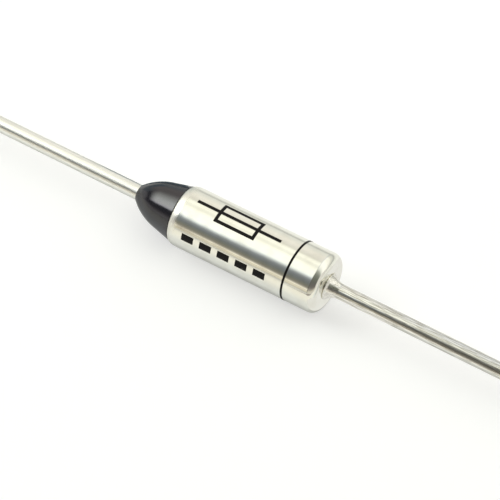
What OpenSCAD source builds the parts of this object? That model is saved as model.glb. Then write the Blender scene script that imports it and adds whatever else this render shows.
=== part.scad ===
// Axial-lead thermal fuse: a one-shot cut-off with a meltable pellet in a sealed metal can.
// The fuse lies along X with its case lead towards +X.
// The origin is on the axis, half way along the straight wall of the can. All sizes are in millimetres.

/* [Can] */
// Outer diameter of the can
case_d = 4; // [3.6:0.1:6]
// Length of the can from its rolled mouth to its closed end
case_len = 10.6; // [10:0.1:16]
// Thickness of the can's side wall
case_wall = 0.3; // [0.2:0.05:0.4]
// Thickness of the can's closed end
case_end_wall = 0.45; // [0.35:0.05:0.7]
// Rounding of the closed end's outer edge
shoulder_r = 0.55; // [0.4:0.05:0.8]
// Rounding of the corner inside the closed end
inner_corner_r = 0.2; // [0.1:0.05:0.25]
// Radius of the curve that rolls the mouth inward
mouth_roll_r = 1.45; // [1.2:0.05:1.7]
// Length of the rolled mouth along the axis
mouth_roll_len = 0.6; // [0.4:0.05:0.65]

/* [Leads] */
// Diameter of both leads
lead_d = 1; // [0.8:0.05:1.1]
// Length of the case lead from the closed end of the can
case_lead_len = 20; // [6:0.5:40]
// Length of the isolated lead from the tip of the seal
isolated_lead_len = 20; // [6:0.5:40]
// Bevel left by the cutter at each lead's free end
lead_cut_bevel = 0.08; // [0.02:0.01:0.2]
// Diameter of the case lead's flare where it stands on the can
flare_d = 1.76; // [1.4:0.02:2.4]
// Length of the flare
flare_len = 0.85; // [0.4:0.05:1.5]
// Diameter of the case lead's rivet head, flush with the inside of the closed end
rivet_d = 1.6; // [1.3:0.05:2]
// Depth of the rivet head's countersink
rivet_depth = 0.25; // [0.15:0.05:0.3]
// Growth in radius of the isolated lead's headed shank, from the seal's tip to the head
shank_taper = 0.1; // [0.05:0.01:0.14]
// Diameter of the isolated lead's contact head
head_d = 1.7; // [1.5:0.05:1.75]
// Thickness of the contact head at its rim
head_rim = 0.45; // [0.3:0.05:0.6]
// Height of the contact head's domed face
head_dome = 0.15; // [0.05:0.01:0.25]

/* [Seal] */
// Length of the seal from the can's mouth to its tip
seal_len = 3.15; // [2.4:0.05:4]
// Length of the seal's conical part, next to the can
seal_cone_len = 1.37; // [0.8:0.01:1.6]
// Slope of the conical part, in degrees
seal_cone_angle = 13.5; // [8:0.5:16]
// Step from the can's edge down to the seal
seal_step = 0.02; // [0.01:0.01:0.05]
// Thickness of the seal's edge round the lead
seal_lip = 0.04; // [0.02:0.01:0.1]
// Depth of the sealing compound inside the can's mouth
seal_depth = 0.3; // [0.2:0.05:0.4]

/* [Bushing] */
// Length of the ceramic bushing with its nose
bushing_len = 2.5; // [2:0.05:3]
// Diameter of the bushing's nose, which carries the contact head
nose_d = 1.76; // [1.6:0.02:1.9]
// Length of the bushing's nose
nose_len = 0.8; // [0.5:0.05:1.1]
// Radial clearance between the bushing and the can
bushing_fit = 0.03; // [0.01:0.01:0.06]
// Radial clearance between the lead's shank and the bushing's bore
bore_fit = 0.03; // [0.01:0.01:0.05]

/* [Pellet and contact] */
// Length of the pellet
pellet_len = 2.6; // [2:0.05:3.2]
// Bevel of the pellet's edges
pellet_bevel = 0.25; // [0.2:0.05:0.4]
// Thickness of the two discs
disc_t = 0.2; // [0.1:0.02:0.3]
// Radial clearance of the pellet and the discs in the can
slide_fit = 0.05; // [0.02:0.01:0.1]
// Thickness of the star contact's sheet
star_t = 0.12; // [0.08:0.01:0.16]
// Number of the star contact's fingers
star_fingers = 8; // [6:1:12]
// Width of the slots between the fingers
star_slot = 0.26; // [0.15:0.01:0.35]
// Curl of the finger tips past the can's wall
star_curl = 0.2; // [0.1:0.01:0.25]
// Radial clearance between the finger tips and the can
star_fit = 0.01; // [0.005:0.005:0.03]

/* [Springs] */
// Wire diameter of the strong spring
strong_wire_d = 0.36; // [0.28:0.01:0.42]
// Turns of the strong spring
strong_turns = 6; // [4:0.5:6.5]
// Radial clearance between the strong spring and the can
strong_fit = 0.2; // [0.1:0.01:0.3]
// Wire diameter of the trip spring
trip_wire_d = 0.2; // [0.14:0.01:0.24]
// Turns of the trip spring
trip_turns = 4.5; // [3.5:0.5:5]
// Radial clearance between the trip spring and the bushing's nose
trip_fit = 0.07; // [0.05:0.01:0.1]

/* [Hidden] */
$fn = 96;

case_r = case_d / 2;
bore_r = case_r - case_wall;
lead_r = lead_d / 2;

// Places along the axis, from the mouth to the closed end
straight_len = case_len - mouth_roll_len - shoulder_r;
roll_z = -straight_len / 2;
mouth_z = roll_z - mouth_roll_len;
end_z = straight_len / 2 + shoulder_r;
floor_z = end_z - case_end_wall;
tip_z = mouth_z - seal_len;
bushing_z = mouth_z + seal_depth;
head_z = bushing_z + bushing_len;
nose_z = head_z - nose_len;
contact_z = head_z + head_rim + head_dome;
contact_disc_z = contact_z + star_t;
spring_z = contact_disc_z + disc_t;
pellet_z = floor_z - pellet_len;
pressure_disc_z = pellet_z - disc_t;

// The mouth's outer edge, and the seal's outline that starts below it
mouth_r = case_r - mouth_roll_r + sqrt(pow(mouth_roll_r, 2) - pow(mouth_roll_len, 2));
seal_r = mouth_r - seal_step;
cone_end_r = seal_r - seal_cone_len * tan(seal_cone_angle);
cone_end_z = mouth_z - seal_cone_len;
tip_r = lead_r + seal_lip;
// Radius of the nose: tangent to the cone's end and through the tip
nose_drop = cone_end_r - tip_r;
nose_run = seal_len - seal_cone_len;
nose_sag = nose_drop * cos(seal_cone_angle) - nose_run * sin(seal_cone_angle);
seal_nose_r = (pow(nose_drop, 2) + pow(nose_run, 2)) / (2 * nose_sag);

// The flare's curve runs into the lead and meets the can at the flare's diameter
flare_step = flare_d / 2 - lead_r;
flare_curve_r = (pow(flare_len, 2) + pow(flare_step, 2)) / (2 * flare_step);

// Sphere of the contact head's domed face
head_r = head_d / 2;
dome_r = (pow(head_r, 2) + pow(head_dome, 2)) / (2 * head_dome);

disc_r = bore_r - slide_fit;
strong_r = bore_r - strong_fit - strong_wire_d / 2;
trip_r = nose_d / 2 + trip_fit + trip_wire_d / 2;

// The star contact is flat over the trip spring and bends down to the can's wall
star_r = bore_r - star_fit;
star_flat_r = trip_r + trip_wire_d / 2;
star_bend_r = star_r - star_flat_r;

// Turns a half section (radius, place along the axis) into a solid along X
module turned() {
    rotate([0, 90, 0])
        rotate_extrude()
            children();
}

// Half section of the can's outline, drawn in from its sides and its closed end
module can_section(side_inset, end_inset, corner_r) {
    side_r = case_r - side_inset;
    top_z = end_z - end_inset;
    translate([0, roll_z])
        square([side_r - corner_r, top_z - roll_z]);
    translate([0, roll_z])
        square([side_r, top_z - corner_r - roll_z]);
    translate([side_r - corner_r, top_z - corner_r])
        circle(corner_r);
    intersection() {
        translate([0, mouth_z])
            square([side_r, roll_z - mouth_z]);
        translate([case_r - mouth_roll_r, roll_z])
            circle(mouth_roll_r - side_inset);
    }
}

// Stretch of the can's inside between two places along the axis
module mouth_section(side_inset, from_z, to_z) {
    intersection() {
        can_section(side_inset, case_end_wall, inner_corner_r);
        translate([0, from_z])
            square([case_r, to_z - from_z]);
    }
}

// Half section of the isolated lead's tapered shank, from the seal's tip to the contact head
module shank_section(gap) {
    polygon([
        [0, tip_z],
        [lead_r + gap, tip_z],
        [lead_r + shank_taper + gap, head_z],
        [0, head_z]
    ]);
}

// Half section of the case lead's rivet, which fills the hole in the closed end
module rivet_section() {
    polygon([
        [0, floor_z],
        [rivet_d / 2, floor_z],
        [lead_r, floor_z + rivet_depth],
        [lead_r, end_z],
        [0, end_z]
    ]);
}

// Half section of a lead's straight wire with its cut end at to_z
module wire_section(from_z, to_z) {
    side = sign(to_z - from_z);
    polygon([
        [0, from_z],
        [lead_r, from_z],
        [lead_r, to_z - side * lead_cut_bevel],
        [lead_r - lead_cut_bevel, to_z],
        [0, to_z]
    ]);
}

// Height of a coil's centre line after some turns: a closed turn at each end, open turns between
function coil_height(turn, turns, height, wire_d) =
    let (
        start = 0.15 * wire_d,
        closed = 1.04 * wire_d,
        open = (height - 2 * (start + closed)) / (turns - 2)
    )
    turn < 1 ? start + closed * turn
    : turn > turns - 1 ? height - start - closed * (turns - turn)
    : start + closed + open * (turn - 1);

// Round wire wound into a coil spring, with both ends ground flat
module coil(mean_r, wire_d, turns, height) {
    sides = 12;
    steps_per_turn = 32;
    steps = ceil(turns * steps_per_turn);
    points = [
        for (step = [0 : steps], side = [0 : sides - 1])
            let (
                turn = turns * step / steps,
                around = 360 * turn,
                section = 360 * (side + 0.5) / sides,
                reach = mean_r + wire_d / 2 * cos(section),
                rise = coil_height(turn, turns, height, wire_d) + wire_d / 2 * sin(section)
            )
            [reach * cos(around), reach * sin(around), max(0, min(height, rise))]
    ];
    walls = [
        for (step = [0 : steps - 1], side = [0 : sides - 1])
            let (
                next = (side + 1) % sides,
                low = step * sides,
                high = low + sides
            )
            each [
                [low + side, high + side, low + next],
                [low + next, high + side, high + next]
            ]
    ];
    first_cap = [for (side = [0 : sides - 1]) side];
    last_cap = [for (side = [sides - 1 : -1 : 0]) steps * sides + side];
    polyhedron(points, concat(walls, [first_cap, last_cap]));
}

// Coil spring along X, starting at from_z
module spring(from_z, to_z, mean_r, wire_d, turns) {
    rotate([0, 90, 0])
        translate([0, 0, from_z])
            coil(mean_r, wire_d, turns, to_z - from_z);
}

// Drawn can: rounded closed end, straight wall, mouth rolled in over the bushing
module case() {
    color("silver")
        turned()
            difference() {
                can_section(0, 0, shoulder_r);
                can_section(case_wall, case_end_wall, inner_corner_r);
                rivet_section();
            }
}

// Lead riveted through the closed end, with a flare that stands on the can
module case_lead() {
    color("lightgray")
        turned() {
            rivet_section();
            difference() {
                translate([0, end_z])
                    square([flare_d / 2, flare_len]);
                translate([lead_r + flare_curve_r, end_z + flare_len])
                    circle(flare_curve_r);
            }
            wire_section(end_z, end_z + case_lead_len);
        }
}

// Pressed tablet with bevelled edges
module thermal_pellet() {
    color("ivory")
        turned()
            polygon([
                [0, pellet_z],
                [disc_r - pellet_bevel, pellet_z],
                [disc_r, pellet_z + pellet_bevel],
                [disc_r, floor_z - pellet_bevel],
                [disc_r - pellet_bevel, floor_z],
                [0, floor_z]
            ]);
}

// Plain stamped disc
module disc(from_z) {
    turned()
        translate([0, from_z])
            square([disc_r, disc_t]);
}

module pressure_disc() {
    color("darkgray")
        disc(pressure_disc_z);
}

module compression_spring() {
    color("slategray")
        spring(spring_z, pressure_disc_z, strong_r, strong_wire_d, strong_turns);
}

module contact_disc() {
    color("darkgray")
        disc(contact_disc_z);
}

// Cupped sheet with slots that leave spring fingers, curled in where they rub on the can
module star_contact() {
    bend_z = contact_disc_z - star_bend_r;
    color("gainsboro")
        difference() {
            turned() {
                translate([0, contact_z])
                    square([star_flat_r, star_t]);
                intersection() {
                    translate([star_flat_r, bend_z - star_curl])
                        square([star_bend_r, star_bend_r + star_curl]);
                    translate([star_flat_r, bend_z])
                        difference() {
                            circle(star_bend_r);
                            circle(star_bend_r - star_t);
                        }
                }
            }
            for (finger = [0 : star_fingers - 1])
                rotate([360 * finger / star_fingers, 0, 0])
                    translate([bend_z - star_bend_r, -star_slot / 2, head_r])
                        cube([2 * star_bend_r + star_t, star_slot, case_r]);
        }
}

module trip_spring() {
    color("slategray")
        spring(nose_z, contact_z, trip_r, trip_wire_d, trip_turns);
}

// Stepped insulator: its rounded outer shoulder sits under the can's rolled mouth
module ceramic_bushing() {
    color("linen")
        turned()
            difference() {
                union() {
                    mouth_section(case_wall + bushing_fit, bushing_z, nose_z);
                    translate([0, nose_z])
                        square([nose_d / 2, nose_len]);
                }
                shank_section(bore_fit);
            }
}

// Headed lead: domed contact head on the bushing's nose, tapered shank, straight wire
module isolated_lead() {
    color("lightgray") {
        turned()
            intersection() {
                translate([0, head_z])
                    square([head_r, contact_z - head_z]);
                translate([0, contact_z - dome_r])
                    circle(dome_r);
            }
        turned()
            shank_section(0);
        turned()
            wire_section(tip_z, tip_z - isolated_lead_len);
    }
}

// Potted seal: fills the can's mouth, then a cone that rounds off into a nose round the lead
module epoxy_seal() {
    nose_centre_r = cone_end_r - seal_nose_r * cos(seal_cone_angle);
    nose_centre_z = cone_end_z + seal_nose_r * sin(seal_cone_angle);
    color("darkslategray")
        difference() {
            union() {
                turned()
                    mouth_section(case_wall, mouth_z, bushing_z);
                turned()
                    polygon([
                        [0, mouth_z],
                        [seal_r, mouth_z],
                        [cone_end_r, cone_end_z],
                        [0, cone_end_z]
                    ]);
                turned()
                    intersection() {
                        translate([0, tip_z])
                            square([cone_end_r, cone_end_z - tip_z]);
                        translate([nose_centre_r, nose_centre_z])
                            circle(seal_nose_r);
                    }
            }
            turned()
                shank_section(0);
        }
}

case();
case_lead();
thermal_pellet();
pressure_disc();
compression_spring();
contact_disc();
star_contact();
trip_spring();
ceramic_bushing();
isolated_lead();
epoxy_seal();
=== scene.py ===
import math

import bpy
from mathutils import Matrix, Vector


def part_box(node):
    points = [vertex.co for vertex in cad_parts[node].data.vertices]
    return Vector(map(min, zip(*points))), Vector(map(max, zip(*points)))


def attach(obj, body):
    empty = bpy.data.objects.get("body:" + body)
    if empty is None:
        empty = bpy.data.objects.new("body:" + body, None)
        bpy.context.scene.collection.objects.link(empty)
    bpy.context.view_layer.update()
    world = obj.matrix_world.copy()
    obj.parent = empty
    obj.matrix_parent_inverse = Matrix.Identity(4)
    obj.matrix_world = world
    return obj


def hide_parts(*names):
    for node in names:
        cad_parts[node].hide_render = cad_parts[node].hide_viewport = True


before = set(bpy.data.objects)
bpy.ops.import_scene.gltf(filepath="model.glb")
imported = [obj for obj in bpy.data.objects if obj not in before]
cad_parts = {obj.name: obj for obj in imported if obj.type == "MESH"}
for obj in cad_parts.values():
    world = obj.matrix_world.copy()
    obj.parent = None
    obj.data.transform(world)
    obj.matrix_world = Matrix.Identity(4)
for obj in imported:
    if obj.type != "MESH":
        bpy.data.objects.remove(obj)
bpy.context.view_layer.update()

# Axial thermal fuse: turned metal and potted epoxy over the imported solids, lying in a light tent
mm = 0.001                     # sizes below are millimetres, the scene is in metres
weld = 1e-7                    # metres: points closer than this are one point
print("frame loaded:", len(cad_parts), "nodes")


def toLinear(hexColour):
    parts = [int(hexColour[i:i + 2], 16) / 255 for i in (1, 3, 5)]
    return [p / 12.92 if p <= 0.04045 else ((p + 0.055) / 1.055) ** 2.4 for p in parts] + [1.0]


# how finely curves are stepped, and from what angle an edge stays sharp
facets = {"arcDeg": 2.0, "runLength": 0.5, "canSides": 160, "wireSides": 96, "smoothDeg": 32}


# ways of drawing a half section as (x along the axis, radius) points
def arc(centreX, centreR, radius, fromDeg, toDeg):
    steps = math.ceil(abs(toDeg - fromDeg) / facets["arcDeg"])
    turns = [math.radians(fromDeg + (toDeg - fromDeg) * i / steps) for i in range(steps + 1)]
    return [(centreX + radius * math.sin(t), centreR + radius * math.cos(t)) for t in turns]


def run(start, end):
    steps = math.ceil(math.dist(start, end) / facets["runLength"])
    shares = [i / steps for i in range(steps + 1)]
    return [(start[0] + (end[0] - start[0]) * s, start[1] + (end[1] - start[1]) * s) for s in shares]


def tidyOutline(points):
    kept = [points[0]]
    for point in points[1:]:
        if math.dist(point, kept[-1]) > weld / mm:
            kept.append(point)
    return kept


def spinOutline(name, outline, sides=facets["canSides"], startDeg=0.0, turnDeg=360.0, fill=False):
    bpy.ops.object.select_all(action="DESELECT")
    bpy.ops.mesh.primitive_plane_add(size=mm)
    piece = bpy.context.object
    piece.name = piece.data.name = name
    start = math.radians(startDeg)
    places = [Vector((x, -r * math.sin(start), r * math.cos(start))) * mm for x, r in tidyOutline(outline)]
    bpy.ops.object.mode_set(mode="EDIT")
    bpy.ops.mesh.merge(type="CENTER")  # one point left, and the section is drawn from it
    bpy.ops.transform.translate(value=places[0])
    for here, there in zip(places, places[1:]):
        bpy.ops.mesh.extrude_region_move(TRANSFORM_OT_translate={"value": there - here})
    bpy.ops.mesh.select_all(action="SELECT")
    bpy.ops.mesh.remove_doubles(threshold=weld)
    if fill:
        bpy.ops.mesh.edge_face_add()
    bpy.ops.mesh.spin(steps=sides, angle=math.radians(turnDeg), center=(0, 0, 0), axis=(-1, 0, 0))
    bpy.ops.mesh.select_all(action="SELECT")
    bpy.ops.mesh.remove_doubles(threshold=weld)
    bpy.ops.mesh.normals_make_consistent(inside=False)
    bpy.ops.object.mode_set(mode="OBJECT")
    bpy.ops.object.shade_smooth_by_angle(angle=math.radians(facets["smoothDeg"]))
    return piece


def addNode(tree, kind, settings=None, links=None, stops=()):
    node = tree.nodes.new("ShaderNode" + kind)
    for key, value in (settings or {}).items():
        if isinstance(key, int) or key in node.inputs:
            node.inputs[key].default_value = value
        else:
            setattr(node, key, value)
    for key, source in (links or {}).items():
        tree.links.new(source, node.inputs[key])
    for i, (position, colour) in enumerate(stops):
        bands = node.color_ramp.elements
        band = bands[i] if i < len(bands) else bands.new(position)
        band.position, band.color = position, colour
    return node


def startMaterial(name):
    material = bpy.data.materials.new(name)
    material.use_nodes = True
    tree = material.node_tree
    tree.nodes.clear()
    shader = addNode(tree, "BsdfPrincipled")
    addNode(tree, "OutputMaterial", links={"Surface": shader.outputs[0]})
    place = addNode(tree, "TexCoord").outputs["Object"]
    return material, tree, shader, place


# Nearly all values of a noise lie between these two
noiseSpan = {"From Min": 0.3, "From Max": 0.7}

# Bright-plated brass, tumbled after drawing: a warm white mirror, a little wavy, with lengthwise lines,
# drawn coarser than real ones to show, and a satin edge where the rolling tool closed the mouth
platedBrass = {"metal": "#edece2", "tarnish": "#e2dfd2", "spread": (0.38, 0.9), "wave": 1.4,
               "waveDepth": 0.0012, "line": 0.06, "lineStretch": 0.05, "lineDepth": 0.00025, "smear": 0.9,
               "roughness": (0.05, 0.12), "roughSpread": (0.35, 0.75), "satin": 0.36, "satinFrom": -0.1,
               "satinTo": 0.34}


def makePlatedBrass(look):
    material, tree, shader, place = startMaterial("bright_plated_brass")
    inMm = addNode(tree, "Mapping", {"Scale": (1 / mm,) * 3}, {"Vector": place}).outputs[0]
    lineScale = (look["lineStretch"] / mm, 1 / mm, 1 / mm)
    along = addNode(tree, "Mapping", {"Scale": lineScale}, {"Vector": place}).outputs[0]
    wave = addNode(tree, "TexNoise", {"Scale": 1 / look["wave"], "Detail": 1.0}, {"Vector": inMm})
    lines = addNode(tree, "TexNoise", {"Scale": 1 / look["line"], "Detail": 2.0}, {"Vector": along})
    smear = addNode(tree, "TexNoise", {"Scale": 1 / look["smear"], "Detail": 4.0}, {"Vector": inMm})
    fromFac, toFac = look["spread"]
    tint = addNode(tree, "ValToRGB", links={"Fac": smear.outputs["Fac"]},
                   stops=[(fromFac, toLinear(look["metal"])), (toFac, toLinear(look["tarnish"]))])
    fromFac, toFac = look["roughSpread"]
    low, high = look["roughness"]
    roughRange = {"From Min": fromFac, "From Max": toFac, "To Min": low, "To Max": high}
    rough = addNode(tree, "MapRange", roughRange, {"Value": smear.outputs["Fac"]})
    axes = addNode(tree, "SeparateXYZ", links={0: inMm}).outputs
    satinX = [rollX - look["satinFrom"], rollX - look["satinTo"]]
    satinRange = {"From Min": satinX[0], "From Max": satinX[1], "To Max": look["satin"]}
    satin = addNode(tree, "MapRange", satinRange, {"Value": axes["X"]})
    worn = addNode(tree, "Math", {"operation": "ADD"}, {0: rough.outputs[0], 1: satin.outputs[0]})
    wavy = addNode(tree, "Bump", {"Strength": 1.0, "Distance": look["waveDepth"] * mm},
                   {"Height": wave.outputs["Fac"]})
    lined = addNode(tree, "Bump", {"Strength": 1.0, "Distance": look["lineDepth"] * mm},
                    {"Height": lines.outputs["Fac"], "Normal": wavy.outputs[0]})
    shader.inputs["Metallic"].default_value = 1.0
    tree.links.new(tint.outputs[0], shader.inputs["Base Color"])
    tree.links.new(worn.outputs[0], shader.inputs["Roughness"])
    tree.links.new(lined.outputs[0], shader.inputs["Normal"])
    return material


# Metal that was drawn, stamped or dipped: lines one way, drawn coarser than real ones to show, soft lumps,
# and duller where the lines are rough
# Hot-tinned wire is streaked with tin, strip steel and spring wire are darker, silver plate is brightest
brightTin = {"name": "bright_tinned_copper", "metal": "#f4f3ec", "dull": "#dddcd1", "spread": (0.42, 0.74),
             "line": 0.05, "lineStretch": 0.04, "lineDepth": 0.0005, "lump": 0.22, "lumpDepth": 0.0005,
             "roughness": (0.23, 0.33)}
dullTin = {"name": "dull_tinned_copper", "metal": "#efede5", "dull": "#aaa595", "spread": (0.44, 0.7),
           "line": 0.04, "lineStretch": 0.045, "lineDepth": 0.0003, "lump": 0.12, "lumpDepth": 0.0002,
           "roughness": (0.09, 0.2)}
stampedSteel = {"name": "stamped_steel", "metal": "#c4c5c6", "dull": "#a3a4a4", "spread": (0.2, 0.8),
                "line": 0.03, "lineStretch": 0.05, "lineDepth": 0.001, "lump": 0.6, "lumpDepth": 0.001,
                "roughness": (0.28, 0.42)}
springSteel = {"name": "drawn_spring_steel", "metal": "#a5a8ac", "dull": "#83868a", "spread": (0.2, 0.8),
               "line": 0.02, "lineStretch": 0.3, "lineDepth": 0.0008, "lump": 0.4, "lumpDepth": 0.001,
               "roughness": (0.2, 0.34)}
silverPlate = {"name": "silver_plated_copper", "metal": "#f4f2ec", "dull": "#e6e1d4", "spread": (0.2, 0.8),
               "line": 0.03, "lineStretch": 0.2, "lineDepth": 0.0004, "lump": 0.5, "lumpDepth": 0.0006,
               "roughness": (0.12, 0.22)}


def makeDrawnMetal(look):
    material, tree, shader, place = startMaterial(look["name"])
    inMm = addNode(tree, "Mapping", {"Scale": (1 / mm,) * 3}, {"Vector": place}).outputs[0]
    lineScale = (look["lineStretch"] / mm, 1 / mm, 1 / mm)
    along = addNode(tree, "Mapping", {"Scale": lineScale}, {"Vector": place}).outputs[0]
    lines = addNode(tree, "TexNoise", {"Scale": 1 / look["line"], "Detail": 3.0}, {"Vector": along})
    lumps = addNode(tree, "TexNoise", {"Scale": 1 / look["lump"], "Detail": 3.0}, {"Vector": inMm})
    fromFac, toFac = look["spread"]
    tint = addNode(tree, "ValToRGB", links={"Fac": lines.outputs["Fac"]},
                   stops=[(fromFac, toLinear(look["metal"])), (toFac, toLinear(look["dull"]))])
    low, high = look["roughness"]
    rough = addNode(tree, "MapRange", {**noiseSpan, "To Min": low, "To Max": high},
                    {"Value": lines.outputs["Fac"]})
    lumpy = addNode(tree, "Bump", {"Strength": 1.0, "Distance": look["lumpDepth"] * mm},
                    {"Height": lumps.outputs["Fac"]})
    lined = addNode(tree, "Bump", {"Strength": 1.0, "Distance": look["lineDepth"] * mm},
                    {"Height": lines.outputs["Fac"], "Normal": lumpy.outputs[0]})
    shader.inputs["Metallic"].default_value = 1.0
    tree.links.new(tint.outputs[0], shader.inputs["Base Color"])
    tree.links.new(rough.outputs[0], shader.inputs["Roughness"])
    tree.links.new(lined.outputs[0], shader.inputs["Normal"])
    return material


# Pressed and fired powders: matt, pale, with grains and specks that show close up
steatite = {"name": "fired_steatite", "body": "#e9e2d3", "speck": "#c9bca4", "grain": 0.09,
            "grainDepth": 0.004, "spread": (0.6, 0.8), "roughness": 0.62, "ior": 1.6}
pelletWax = {"name": "pressed_pellet_compound", "body": "#e6d8ae", "speck": "#c8b37c", "grain": 0.16,
             "grainDepth": 0.01, "spread": (0.54, 0.8), "roughness": 0.78, "ior": 1.5}
# Pad-print ink, cured on the metal: matt black, a little thin and brown where the pad lifted
printInk = {"name": "black_pad_print_ink", "body": "#0c0a08", "speck": "#2e2721", "grain": 0.12,
            "grainDepth": 0.001, "spread": (0.62, 0.8), "roughness": 0.5, "ior": 1.25}


def makeGrainySolid(look):
    material, tree, shader, place = startMaterial(look["name"])
    inMm = addNode(tree, "Mapping", {"Scale": (1 / mm,) * 3}, {"Vector": place}).outputs[0]
    grain = addNode(tree, "TexNoise", {"Scale": 1 / look["grain"], "Detail": 3.0}, {"Vector": inMm})
    fromFac, toFac = look["spread"]
    tint = addNode(tree, "ValToRGB", links={"Fac": grain.outputs["Fac"]},
                   stops=[(fromFac, toLinear(look["body"])), (toFac, toLinear(look["speck"]))])
    grainy = addNode(tree, "Bump", {"Strength": 1.0, "Distance": look["grainDepth"] * mm},
                     {"Height": grain.outputs["Fac"]})
    shader.inputs["Roughness"].default_value = look["roughness"]
    shader.inputs["IOR"].default_value = look["ior"]
    tree.links.new(tint.outputs[0], shader.inputs["Base Color"])
    tree.links.new(grainy.outputs[0], shader.inputs["Normal"])
    return material


# Filled black epoxy, potted and cured in air: deep black with a wet gloss that wavers slightly, and with
# grains of filler, drawn coarser than real ones to show
blackEpoxy = {"black": "#161519", "grey": "#201f23", "flow": 1.1, "flowDepth": 0.004, "grain": 0.05,
              "roughness": (0.1, 0.17), "ior": 1.62}


def makeBlackEpoxy(look):
    material, tree, shader, place = startMaterial("black_potting_epoxy")
    inMm = addNode(tree, "Mapping", {"Scale": (1 / mm,) * 3}, {"Vector": place}).outputs[0]
    flow = addNode(tree, "TexNoise", {"Scale": 1 / look["flow"], "Detail": 1.0}, {"Vector": inMm})
    grain = addNode(tree, "TexNoise", {"Scale": 1 / look["grain"], "Detail": 2.0}, {"Vector": inMm})
    tint = addNode(tree, "Mix", {"data_type": "RGBA", 6: toLinear(look["black"]), 7: toLinear(look["grey"])},
                   {0: grain.outputs["Fac"]})
    low, high = look["roughness"]
    rough = addNode(tree, "MapRange", {**noiseSpan, "To Min": low, "To Max": high},
                    {"Value": flow.outputs["Fac"]})
    wavy = addNode(tree, "Bump", {"Strength": 1.0, "Distance": look["flowDepth"] * mm},
                   {"Height": flow.outputs["Fac"]})
    shader.inputs["IOR"].default_value = look["ior"]
    tree.links.new(tint.outputs[2], shader.inputs["Base Color"])
    tree.links.new(rough.outputs[0], shader.inputs["Roughness"])
    tree.links.new(wavy.outputs[0], shader.inputs["Normal"])
    return material


can = {"wall": 0.3, "endWall": 0.45, "shoulder": 0.55, "innerCorner": 0.2, "rollRadius": 1.45,
       "rollLength": 0.6, "rimRound": 0.16}
lead = {"radius": 0.5, "bevel": 0.08, "flareLength": 0.85, "flareSpread": 0.075, "flareRim": 0.04,
        "rivetRadius": 0.8, "rivetDepth": 0.25, "shankGrowth": 0.1, "headRim": 0.45, "headDome": 0.15}
seal = {"coneLength": 1.37, "coneDeg": 13.5, "lip": 0.04, "crease": 0.04}

# places along the axis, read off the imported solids
caseLow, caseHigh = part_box("case")
mouthX, endX, canR = caseLow.x / mm, caseHigh.x / mm, -caseLow.z / mm
flareR, caseWireX = -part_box("case_lead")[0].z / mm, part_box("case_lead")[1].x / mm
isolatedLow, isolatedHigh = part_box("isolated_lead")
isolatedWireX, headTopX, headR = isolatedLow.x / mm, isolatedHigh.x / mm, -isolatedLow.z / mm
sealLow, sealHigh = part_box("epoxy_seal")
tipX, sealInX, sealR = sealLow.x / mm, sealHigh.x / mm, -sealLow.z / mm
rollX = mouthX + can["rollLength"]
floorX = endX - can["endWall"]
headBaseX = headTopX - lead["headRim"] - lead["headDome"]
boreR = canR - can["wall"]
rollCentreR = canR - can["rollRadius"]
innerRollR = can["rollRadius"] - can["wall"]
outerRollDeg = math.degrees(math.asin(can["rollLength"] / can["rollRadius"]))
innerRollDeg = math.degrees(math.asin(can["rollLength"] / innerRollR))


def makeCan():
    cornerX, cornerR = endX - can["shoulder"], canR - can["shoulder"]
    innerX, innerR = floorX - can["innerCorner"], boreR - can["innerCorner"]
    outline = [(floorX, lead["rivetRadius"]), (floorX + lead["rivetDepth"], lead["radius"])]
    outline += run((endX, lead["radius"]), (endX, cornerR))
    outline += arc(cornerX, cornerR, can["shoulder"], 90, 0)
    outline += run((cornerX, canR), (rollX, canR))
    rim = can["rimRound"]
    rimDeg = math.degrees(math.asin((can["rollLength"] - rim) / (can["rollRadius"] - rim)))
    rimR = rollCentreR + (can["rollRadius"] - rim) * math.cos(math.radians(rimDeg))
    outline += arc(rollX, rollCentreR, can["rollRadius"], 0, -rimDeg)
    outline += arc(mouthX + rim, rimR, rim, -rimDeg, -90)
    outline += arc(rollX, rollCentreR, innerRollR, -innerRollDeg, 0)
    outline += run((rollX, boreR), (innerX, boreR))
    outline += arc(innerX, innerR, can["innerCorner"], 0, 90)
    return spinOutline("plated_case", outline + outline[:1])


def makeCaseLead():
    rim = lead["flareRim"]
    flareStep = flareR + lead["flareSpread"] - lead["radius"]  # the curve's reach, edge not yet rounded
    curveR = (lead["flareLength"] ** 2 + flareStep ** 2) / (2 * flareStep)
    sweep = math.asin((lead["flareLength"] - rim) / (curveR + rim))  # where edge and curve meet
    flareX, curveCentreR = endX + lead["flareLength"], lead["radius"] + curveR
    rimCentreR = curveCentreR - (curveR + rim) * math.cos(sweep)
    sweepDeg = math.degrees(sweep)
    outline = [(floorX, 0), (floorX, lead["rivetRadius"]), (floorX + lead["rivetDepth"], lead["radius"])]
    outline += [(endX, lead["radius"])]
    outline += arc(endX + rim, rimCentreR, rim, -90, sweepDeg)
    outline += arc(flareX, curveCentreR, curveR, 180 + sweepDeg, 180)
    outline += run((flareX, lead["radius"]), (caseWireX - lead["bevel"], lead["radius"]))
    outline += [(caseWireX, lead["radius"] - lead["bevel"]), (caseWireX, 0)]
    return spinOutline("flared_case_lead", outline, facets["wireSides"])


def makeIsolatedLead():
    domeR = (headR ** 2 + lead["headDome"] ** 2) / (2 * lead["headDome"])
    rimDeg = math.degrees(math.acos(headR / domeR))
    outline = [(isolatedWireX, 0), (isolatedWireX, lead["radius"] - lead["bevel"])]
    outline += run((isolatedWireX + lead["bevel"], lead["radius"]), (tipX, lead["radius"]))
    outline += run((tipX, lead["radius"]), (headBaseX, lead["radius"] + lead["shankGrowth"]))
    outline += [(headBaseX, headR)]
    outline += arc(headTopX - domeR, 0, domeR, rimDeg, 90)
    return spinOutline("headed_isolated_lead", outline, facets["wireSides"])


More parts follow.
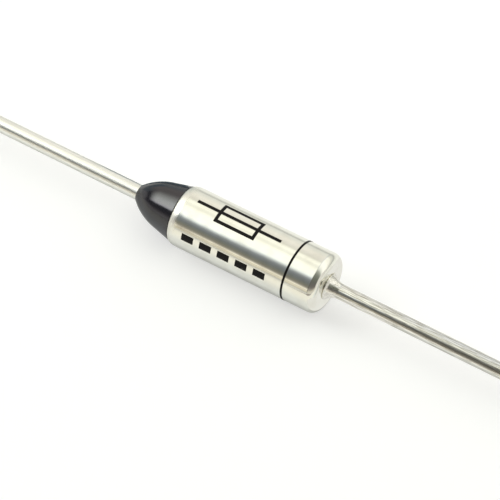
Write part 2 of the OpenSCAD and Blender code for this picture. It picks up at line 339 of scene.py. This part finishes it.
def makeSeal():
    slope = math.radians(seal["coneDeg"])
    coneX = mouthX - seal["coneLength"]
    coneR = sealR - seal["coneLength"] * math.tan(slope)
    tipR = lead["radius"] + seal["lip"]
    drop, length = coneR - tipR, coneX - tipX
    noseR = (drop ** 2 + length ** 2) / (2 * (drop * math.cos(slope) - length * math.sin(slope)))
    noseX, noseCentreR = coneX + noseR * math.sin(slope), coneR - noseR * math.cos(slope)
    tipDeg = math.degrees(math.asin((tipX - noseX) / noseR))
    shankSlope = lead["shankGrowth"] / (headBaseX - tipX)
    inRollDeg = math.degrees(math.asin((rollX - sealInX) / innerRollR))
    outline = arc(noseX, noseCentreR, noseR, tipDeg, -seal["coneDeg"])
    creaseR = sealR - seal["crease"] * math.tan(slope)
    outline += run((coneX, coneR), (mouthX - seal["crease"], creaseR))
    outline += [(mouthX, creaseR - seal["crease"])]
    outline += arc(rollX, rollCentreR, innerRollR, -innerRollDeg, -inRollDeg)
    outline += [(sealInX, lead["radius"] + shankSlope * (sealInX - tipX)), (tipX, lead["radius"])]
    return spinOutline("potted_seal", outline + outline[:1])


# Print on the can: a plain ring near the closed end, a line-and-box fuse sign and a row of dashes
ink = {"thick": 0.008, "sink": 0.002, "stepDeg": 2.25, "ringX": 3.035, "ringWidth": 0.15}
fuseSign = {"fromX": -4.2, "toX": 1.8, "boxFromX": -2.65, "boxToX": 0.25, "stroke": 0.22, "rows": 7,
            "midDeg": -1.6}
dashes = {"fromX": -4.2, "count": 5, "length": 0.84, "gap": 0.45, "height": 0.5, "midDeg": 72.5}


def makeRing():
    low, high = canR - ink["sink"], canR + ink["thick"]
    fromX, toX = ink["ringX"] - ink["ringWidth"] / 2, ink["ringX"] + ink["ringWidth"] / 2
    return spinOutline("printed_ring", [(fromX, low), (fromX, high), (toX, high), (toX, low), (fromX, low)])


# a sheet round the can, cut down to the cells that keeps(x, row) asks for and thickened to a film of ink
def inkFilm(name, places, midDeg, rows, rowHeight, keeps):
    rowDeg = math.degrees(rowHeight / canR)
    fromDeg = midDeg - rows * rowDeg / 2
    filmR = canR + (ink["thick"] - ink["sink"]) / 2
    steps = rows * math.ceil(rowDeg / ink["stepDeg"])
    film = spinOutline(name, [(x, filmR) for x in places], steps, fromDeg, rows * rowDeg)
    bpy.ops.object.mode_set(mode="EDIT")
    bpy.ops.mesh.select_mode(type="FACE")
    bpy.ops.mesh.select_all(action="DESELECT")
    bpy.ops.object.mode_set(mode="OBJECT")
    for face in film.data.polygons:
        angleDeg = math.degrees(math.atan2(-face.center.y, face.center.z))
        face.select = not keeps(face.center.x / mm, int((angleDeg - fromDeg) / rowDeg))
    bpy.ops.object.mode_set(mode="EDIT")
    bpy.ops.mesh.delete(type="FACE")
    bpy.ops.mesh.select_mode(type="VERT")
    bpy.ops.object.mode_set(mode="OBJECT")
    thicken = film.modifiers.new("film", "SOLIDIFY")
    thicken.thickness = (ink["thick"] + ink["sink"]) * mm
    thicken.offset = 0.0
    bpy.ops.object.modifier_apply(modifier=thicken.name)
    bpy.ops.object.mode_set(mode="EDIT")
    bpy.ops.mesh.select_all(action="SELECT")
    bpy.ops.mesh.normals_make_consistent(inside=False)
    bpy.ops.object.mode_set(mode="OBJECT")
    bpy.ops.object.shade_smooth_by_angle(angle=math.radians(facets["smoothDeg"]))
    return film


def makeMarks():
    stroke, rows = fuseSign["stroke"], fuseSign["rows"]
    sideX = [fuseSign["boxFromX"] + stroke, fuseSign["boxToX"] - stroke]
    places = [fuseSign["fromX"], fuseSign["boxFromX"], *sideX, fuseSign["boxToX"], fuseSign["toX"]]

    def inSign(x, row):
        if row == rows // 2:  # the line runs right through
            return True
        onEdge = row in (0, rows - 1) or not sideX[0] < x < sideX[1]
        return onEdge and fuseSign["boxFromX"] < x < fuseSign["boxToX"]

    pitch = dashes["length"] + dashes["gap"]
    starts = [dashes["fromX"] + i * pitch for i in range(dashes["count"])]
    ends = [x + dashes["length"] for x in starts]

    def inDash(x, row):
        return (x - dashes["fromX"]) % pitch < dashes["length"]

    marks = inkFilm("printed_marks", places, fuseSign["midDeg"], rows, stroke, inSign)
    dashRow = inkFilm("dashes", sorted(starts + ends), dashes["midDeg"], 1, dashes["height"], inDash)
    bpy.ops.object.select_all(action="DESELECT")
    dashRow.select_set(True)
    marks.select_set(True)
    bpy.context.view_layer.objects.active = marks
    bpy.ops.object.join()
    return marks


platedCase = makeCan()
caseLead = makeCaseLead()
isolatedLead = makeIsolatedLead()
pottedSeal = makeSeal()
print("turned pieces made")
printedRing = makeRing()
printedMarks = makeMarks()
print("print made")

dress = [(platedCase, "case", "plated_can", makePlatedBrass(platedBrass)),
         (caseLead, "case_lead", "tinned_lead", makeDrawnMetal(dullTin)),
         (isolatedLead, "isolated_lead", "tinned_lead", makeDrawnMetal(brightTin)),
         (pottedSeal, "epoxy_seal", "black_epoxy", makeBlackEpoxy(blackEpoxy))]
for piece, node, slotName, material in dress:
    piece.data.materials.append(material)
    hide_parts(node)
    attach(piece, "root")
inkMaterial = makeGrainySolid(printInk)
for piece in (printedRing, printedMarks):
    piece.data.materials.append(inkMaterial)
    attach(piece, "root")

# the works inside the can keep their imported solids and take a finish
steel, spring = makeDrawnMetal(stampedSteel), makeDrawnMetal(springSteel)
inside = {"thermal_pellet": makeGrainySolid(pelletWax), "pressure_disc": steel, "compression_spring": spring,
          "contact_disc": steel, "star_contact": makeDrawnMetal(silverPlate), "trip_spring": spring,
          "ceramic_bushing": makeGrainySolid(steatite)}
for node, material in inside.items():
    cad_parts[node].material_slots[0].material = material
print("finishes set")

# Light tent: a half round along the fuse, shaded by the angle about its axis
# Angles run from the floor behind (-90) over the top to the floor in front (90); levels are of plain white
tent = {"radius": 320.0, "sides": 60, "floor": "#c8c8c6", "floorLift": 0.5, "floorSize": 4.0,
        "world": "#fffdf8", "worldLevel": 0.82}
shades = {
    "soft": [
        (-90, 0.58, "#f4f6f4"), (-84, 0.84, "#fdfff9"), (-73, 0.92, "#fffff9"), (-56, 1.02, "#fffcf4"),
        (-41, 0.90, "#fffcf4"), (-34, 0.86, "#fffdf2"), (-27, 1.16, "#fffff4"), (-20, 1.26, "#fffff4"),
        (-14, 1.12, "#fffff4"), (-8, 1.08, "#fffff4"), (-2, 1.24, "#fffff4"), (4, 1.32, "#fffff6"),
        (26, 1.32, "#fcfffa"), (32, 1.12, "#f6fdff"), (37, 0.6, "#f2faff"), (42, 0.34, "#edf6ff"),
        (48, 0.25, "#edf6ff"), (57, 0.21, "#f4fdff"), (66, 0.22, "#ffffee"), (72, 0.3, "#fff9e8"),
        (76.5, 0.7, "#fff8e8"), (79, 1.14, "#fffaea"), (82, 0.74, "#fff6de"), (85, 0.92, "#fff8e4"),
        (88, 0.7, "#fff8e4"), (90, 0.74, "#fff8e4")],
    "strong": [
        (-90, 0.5, "#d2f0ff"), (-72, 0.55, "#d8f0ff"), (-62, 0.85, "#fff4ee"), (-36, 0.95, "#fff4ee"),
        (-29, 1.1, "#fff8f2"), (-20, 1.9, "#fffdf6"), (-6, 3.4, "#fdfff8"), (14, 5.5, "#fcfffb"),
        (32, 6.2, "#fafaf8"), (41, 5.3, "#f4f4f8"), (45, 0.6, "#e6ecff"), (48, 0.16, "#e6ecff"),
        (66, 0.17, "#f0ecff"), (75, 0.5, "#fff4f4"), (84, 0.9, "#fffafa"), (90, 0.95, "#fffafa")],
    "dark": [
        (-90, 0.5, "#e0f4ff"), (-40, 0.5, "#e0f4ff"), (-26, 0.16, "#e6ecff"), (70, 0.16, "#f0ecff"),
        (80, 0.8, "#fffafa"), (90, 0.9, "#fffafa")],
    "far": [
        (-90, 0.72, "#fafcff"), (-40, 0.76, "#fcfcff"), (40, 0.76, "#fffdff"), (90, 0.9, "#fffafa")],
    "dull": [
        (-90, 0.5, "#f2f6f8"), (-82, 0.6, "#f6faff"), (-73, 0.74, "#f6faff"), (-58, 0.86, "#f6faff"),
        (-42, 0.98, "#f6faff"), (-26, 0.94, "#f6faff"), (-14, 0.68, "#f8fcfa"), (-4, 0.7, "#fcfff8"),
        (6, 0.96, "#fffff6"), (14, 0.96, "#fffff4"), (21, 0.54, "#fcfff4"), (30, 0.3, "#fafcf0"),
        (42, 0.15, "#fffaf0"), (55, 0.12, "#fffaec"), (70, 0.1, "#fff8ea"), (79, 0.11, "#fff6ea"),
        (85, 0.15, "#fff8f0"), (90, 0.22, "#fff8f0")],
    "grey": [
        (-90, 0.5, "#f4f6f4"), (-84, 0.72, "#fdfff9"), (-70, 0.88, "#fffff6"), (-62, 1.12, "#fffff8"),
        (-40, 1.24, "#fffff8"), (-27, 1.24, "#fffffa"), (-14, 1.12, "#fffffa"), (-4, 0.88, "#fcfff8"),
        (4, 0.5, "#fafff4"), (16, 0.28, "#f6fcec"), (32, 0.2, "#f2fae8"), (46, 0.16, "#f8faf0"),
        (58, 0.16, "#fffaf4"), (68, 0.2, "#fff8f0"), (78, 0.44, "#fff8ea"), (84, 0.7, "#fff8ea"),
        (90, 0.78, "#fff8ea")],
}
# the soft cloth again for the mouth half of the can, where its dark band starts lower
darkBand = {"fromDeg": 25, "toDeg": 50, "lowerDeg": 5.5}
shades["low"] = []
for angle, level, colour in shades["soft"]:
    if darkBand["fromDeg"] < angle < darkBand["toDeg"]:
        angle += darkBand["lowerDeg"]
    shades["low"].append((angle, level, colour))
# and at the mouth itself, a little whiter overhead and with a brown fold in front
folds = [{"fromDeg": 0, "toDeg": 32, "level": 1.36, "colour": "#fffffd"},
         {"fromDeg": 76, "toDeg": 87, "level": 0.36, "colour": "#fff0dc"}]
shades["mouth"] = []
for angle, level, colour in shades["low"]:
    for fold in folds:
        if fold["fromDeg"] < angle < fold["toDeg"]:
            level, colour = fold["level"], fold["colour"]
    shades["mouth"].append((angle, level, colour))
# places along the tent, each with its shade; the cloth between two places blends them
stations = [(-3000, "far"), (-1200, "far"), (-980, "dark"), (-690, "dark"), (-355, "strong"),
            (-268, "strong"), (-200, "soft"), (-126, "soft"), (-122, "mouth"), (-118.6, "mouth"),
            (-116, "low"), (-110, "low"), (-105, "soft"), (-92, "soft"), (-83, "dull"), (-64, "dull"),
            (-48, "grey"), (600, "grey")]


def levelStops(stops, low, high, peak=1.0):
    return [((place - low) / (high - low), [c * level / peak for c in toLinear(colour)[:3]] + [1.0])
            for place, level, colour in stops]


def startGlow(name):
    material = bpy.data.materials.new(name)
    material.use_nodes = True
    material.node_tree.nodes.clear()
    glow = addNode(material.node_tree, "Emission")
    addNode(material.node_tree, "OutputMaterial", links={"Surface": glow.outputs[0]})
    return material, material.node_tree, glow


def addPanel(fromX, fromShade, toX, toShade):
    edge = [(fromX, tent["radius"]), (toX, tent["radius"])]
    panel = spinOutline("tent_" + fromShade, edge, tent["sides"], -90, 180)
    material, tree, glow = startGlow(panel.name)
    place = addNode(tree, "TexCoord").outputs["Object"]
    axes = addNode(tree, "SeparateXYZ", links={0: place}).outputs
    toFront = addNode(tree, "Math", {"operation": "MULTIPLY", 1: -1.0}, {0: axes["Y"]}).outputs[0]
    angle = addNode(tree, "Math", {"operation": "ARCTAN2"}, {0: toFront, 1: axes["Z"]}).outputs[0]
    share = addNode(tree, "MapRange", {"From Min": -math.pi / 2, "From Max": math.pi / 2}, {"Value": angle})
    along = addNode(tree, "MapRange", {"From Min": fromX * mm, "From Max": toX * mm}, {"Value": axes["X"]})
    pair = [shades[fromShade], shades[toShade]]
    peak = max(level for stops in pair for _, level, _ in stops)
    ramps = [addNode(tree, "ValToRGB", links={"Fac": share.outputs[0]},
                     stops=levelStops(stops, -90, 90, peak)) for stops in pair]
    blend = addNode(tree, "Mix", {"data_type": "RGBA"},
                    {0: along.outputs[0], 6: ramps[0].outputs[0], 7: ramps[1].outputs[0]})
    glow.inputs["Strength"].default_value = peak
    tree.links.new(blend.outputs[2], glow.inputs["Color"])
    panel.data.materials.append(material)
    panel.visible_camera = False


for (fromX, fromShade), (toX, toShade) in zip(stations, stations[1:]):
    addPanel(fromX, fromShade, toX, toShade)

# White paper that keeps the fuse's shadow; what the metal mirrors of it glows with painted shade, darkest
# right beside the fuse and fading away from it
mirrorReach = 60.0  # millimetres to each side of the axis
# mirrored glow across the paper's depth: painted shade, low right beside the fuse and falling off far in
# front and behind
mirrorLiftAndPaintedShade = [(-60, 0.16, "#fff8ee"), (-37, 0.22, "#fff8ee"), (-20, 0.42, "#fff9ec"), (-11, 0.5, "#fffaee"),
              (-7.6, 0.5, "#fffaf0"), (-5.3, 0.45, "#fdfdfa"), (-3.8, 0.4, "#f6faff"),
              (-2.6, 0.42, "#f2f8ff"), (-2, 0.2, "#f2f8ff"), (2.5, 0.25, "#f8fafc"), (5, 0.44, "#fafcfc"),
              (12, 0.46, "#fafcfc"), (26, 0.32, "#f6fafa"), (41, 0.14, "#f4f8fa"), (60, 0.1, "#f4f8fa")]
floorZ = -(canR + ink["thick"])
bpy.ops.object.select_all(action="DESELECT")
bpy.ops.mesh.primitive_plane_add(size=tent["floorSize"], location=(0, 0, floorZ * mm))
floor = bpy.context.object
floor.name = "floor"
floorMaterial, tree, shader, place = startMaterial("white_paper_painted_shade")
shader.inputs["Base Color"].default_value = toLinear(tent["floor"])
shader.inputs["Roughness"].default_value = 1.0
shader.inputs["Specular IOR Level"].default_value = 0.0
path = addNode(tree, "LightPath").outputs
axes = addNode(tree, "SeparateXYZ", links={0: place}).outputs
share = addNode(tree, "MapRange", {"From Min": -mirrorReach * mm, "From Max": mirrorReach * mm},
                {"Value": axes["Y"]})
paintedShadeRamp = addNode(tree, "ValToRGB", links={"Fac": share.outputs[0]},
               stops=levelStops(mirrorLiftAndPaintedShade, -mirrorReach, mirrorReach))
# glossy and transmission rays see the painted shade beside the fuse, camera rays see the paper evenly lifted
liftAndPaintedShade = addNode(tree, "Mix", {"data_type": "RGBA", 7: [tent["floorLift"]] * 3 + [1.0]},
               {0: path["Is Camera Ray"], 6: paintedShadeRamp.outputs[0]})
mirrored = addNode(tree, "Math", {"operation": "MAXIMUM"},
                   {0: path["Is Glossy Ray"], 1: path["Is Transmission Ray"]})
lifted = addNode(tree, "Math", {"operation": "MAXIMUM"}, {0: mirrored.outputs[0], 1: path["Is Camera Ray"]})
tree.links.new(liftAndPaintedShade.outputs[2], shader.inputs["Emission Color"])
tree.links.new(lifted.outputs[0], shader.inputs["Emission Strength"])
floor.data.materials.append(floorMaterial)

# Cards lying on the paper, of which only the reflection shows: a dark one keeps the seal's upper edge dark,
# a dark one widens the stripe along the case lead, a pale one lights the flat end of the can
cards = [{"name": "seal_card", "width": 5, "length": 50, "midX": -21.8, "midY": 24.8, "turnDeg": 29.2,
          "level": 0.34, "colour": "#b4ccd8"},
         {"name": "lead_card", "width": 26, "length": 60, "midX": 10, "midY": -50, "turnDeg": 0,
          "level": 0.4, "colour": "#fff6ee"},
         {"name": "end_card", "width": 4, "length": 14, "midX": 7.4, "midY": 0, "turnDeg": 0,
          "level": 0.9, "colour": "#fffffd"}]
cardLift = 0.03  # clear of the paper


def addCard(look):
    bpy.ops.object.select_all(action="DESELECT")
    place = Vector((look["midX"], look["midY"], floorZ + cardLift)) * mm
    bpy.ops.mesh.primitive_plane_add(size=mm, location=place, rotation=(0, 0, math.radians(look["turnDeg"])))
    card = bpy.context.object
    card.name = look["name"]
    card.scale = (look["width"], look["length"], 1)
    bpy.ops.object.transform_apply()
    material, tree, glow = startGlow(look["name"])
    glow.inputs["Color"].default_value = toLinear(look["colour"])
    glow.inputs["Strength"].default_value = look["level"]
    card.data.materials.append(material)
    card.visible_camera = False
    card.visible_diffuse = False
    card.visible_shadow = False


for look in cards:
    addCard(look)

world = bpy.data.worlds.new("tent")
bpy.context.scene.world = world
world.use_nodes = True
world.node_tree.nodes.clear()
path = addNode(world.node_tree, "LightPath").outputs
level = addNode(world.node_tree, "MapRange", {"To Min": tent["worldLevel"], "To Max": 1.0},
                {"Value": path["Is Camera Ray"]})
sky = addNode(world.node_tree, "Background", {"Color": toLinear(tent["world"])},
              {"Strength": level.outputs[0]})
addNode(world.node_tree, "OutputWorld", links={"Surface": sky.outputs[0]})
print("tent lit")

shot = {"azimuth": 31.89, "elevation": 52.41, "distance": 264.6, "lens": 309.6, "sensor": 36, "aimX": -0.41,
        "aimDrop": 0.172, "clipStart": 0.01}
turn, tilt = math.radians(shot["azimuth"]), math.radians(shot["elevation"])
back = Vector((math.sin(turn) * math.cos(tilt), -math.cos(turn) * math.cos(tilt), math.sin(tilt)))
up = Vector((-math.sin(turn) * math.sin(tilt), math.cos(turn) * math.sin(tilt), math.cos(tilt)))
camera = bpy.data.objects.new("camera", bpy.data.cameras.new("camera"))
bpy.context.scene.collection.objects.link(camera)
camera.data.sensor_width = shot["sensor"]
camera.data.lens = shot["lens"]
camera.data.clip_start = shot["clipStart"]
camera.location = (Vector((shot["aimX"], 0, 0)) - up * shot["aimDrop"] + back * shot["distance"]) * mm
camera.rotation_mode = "QUATERNION"
camera.rotation_quaternion = (-back).to_track_quat("-Z", "Y")
bpy.context.scene.camera = camera
bpy.context.scene.view_settings.view_transform = "Standard"
print("camera set")
